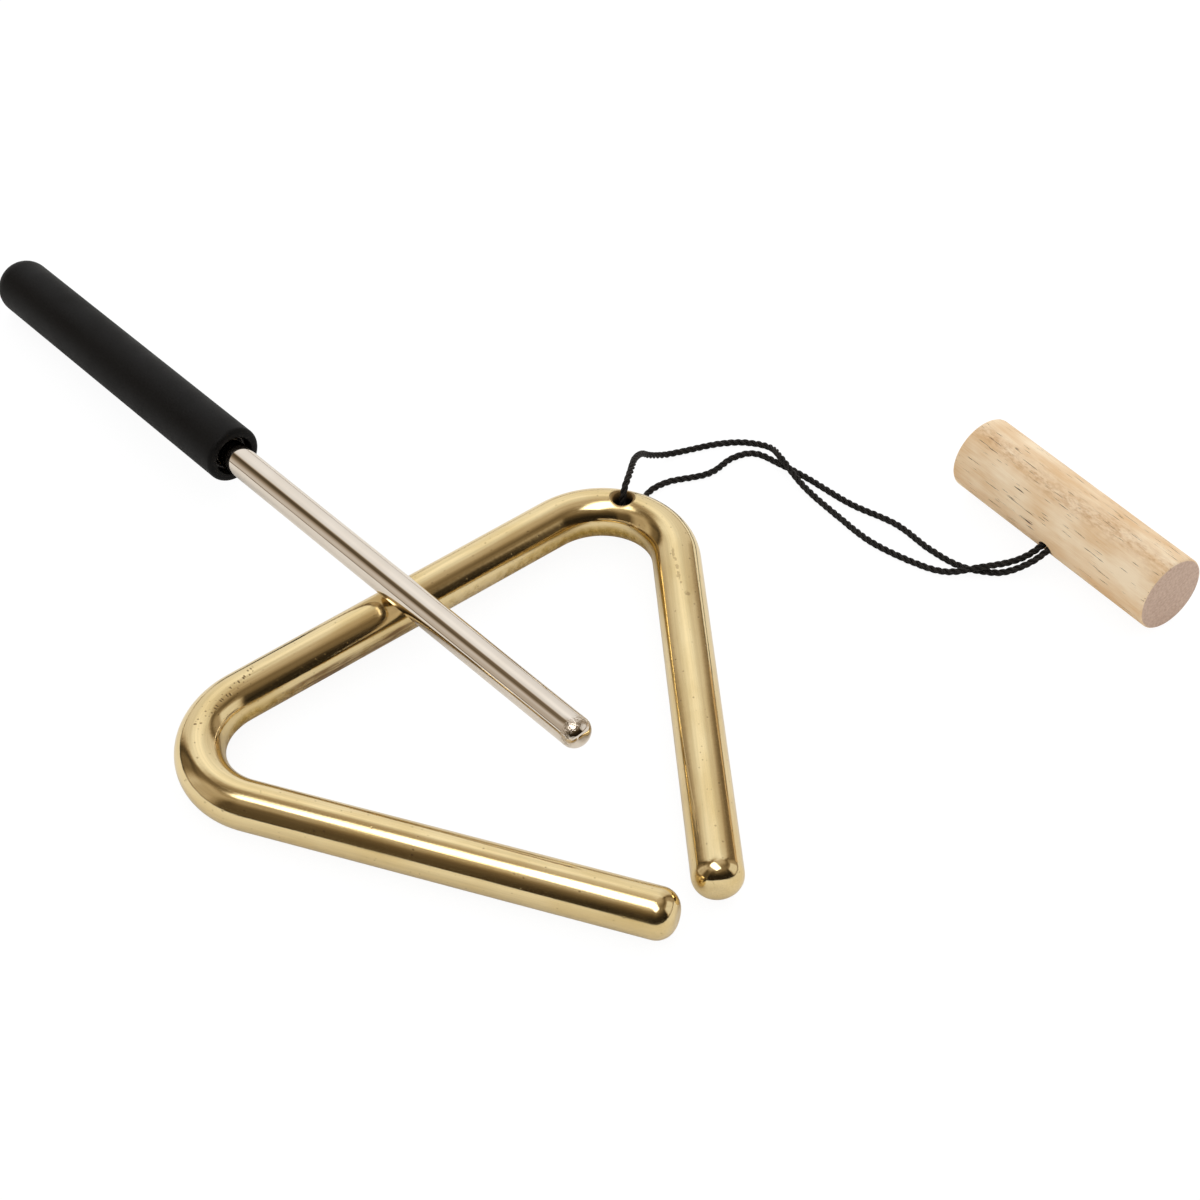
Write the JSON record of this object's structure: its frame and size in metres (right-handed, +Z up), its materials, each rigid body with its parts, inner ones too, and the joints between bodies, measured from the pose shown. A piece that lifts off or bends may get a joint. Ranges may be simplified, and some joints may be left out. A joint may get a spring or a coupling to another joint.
{
  "type": "triangle instrument",
  "caption": "Bent brass rod struck as a triangle, with a corded wooden toggle to hold it by and a steel beater with a rubber grip.",
  "frame": {"origin": "middle of the table area that the triangle, toggle and beater cover, on the table", "axes": "+Z up from the table, square to the triangle's plane; +X along the triangle's long side, from the plain bend to the bored bend; +Y from the open corner to the beater's grip"},
  "size_m": [0.2076, 0.2726, 0.0227],
  "materials": {
    "brass": "polished, lightly pitted",
    "cord": "black twisted cord",
    "wood": "sanded pale dowel",
    "steel": "bright nickel-plated steel",
    "liner": "glossy black",
    "rubber": "matte black"
  },
  "bodies": {
    "triangle": {"triangle_rod": "brass"},
    "holder": {"cord": "cord", "cord_knot": "cord", "toggle": "wood"},
    "beater": {"beater_rod": "steel", "grip_sleeve": "liner", "beater_grip": "rubber"}
  },
  "joints": [
    {"name": "holder_swing", "type": "hinge", "parent": "triangle", "child": "holder", "pos_m": [0.01892, -0.035, 0.00555], "axis": [0, 0, 1], "range_deg": [-15, 15]},
    {"name": "beater_lift", "type": "slide", "parent": "triangle", "child": "beater", "axis": [0, 0, 1], "range_m": [0, 0.12]}
  ]
}
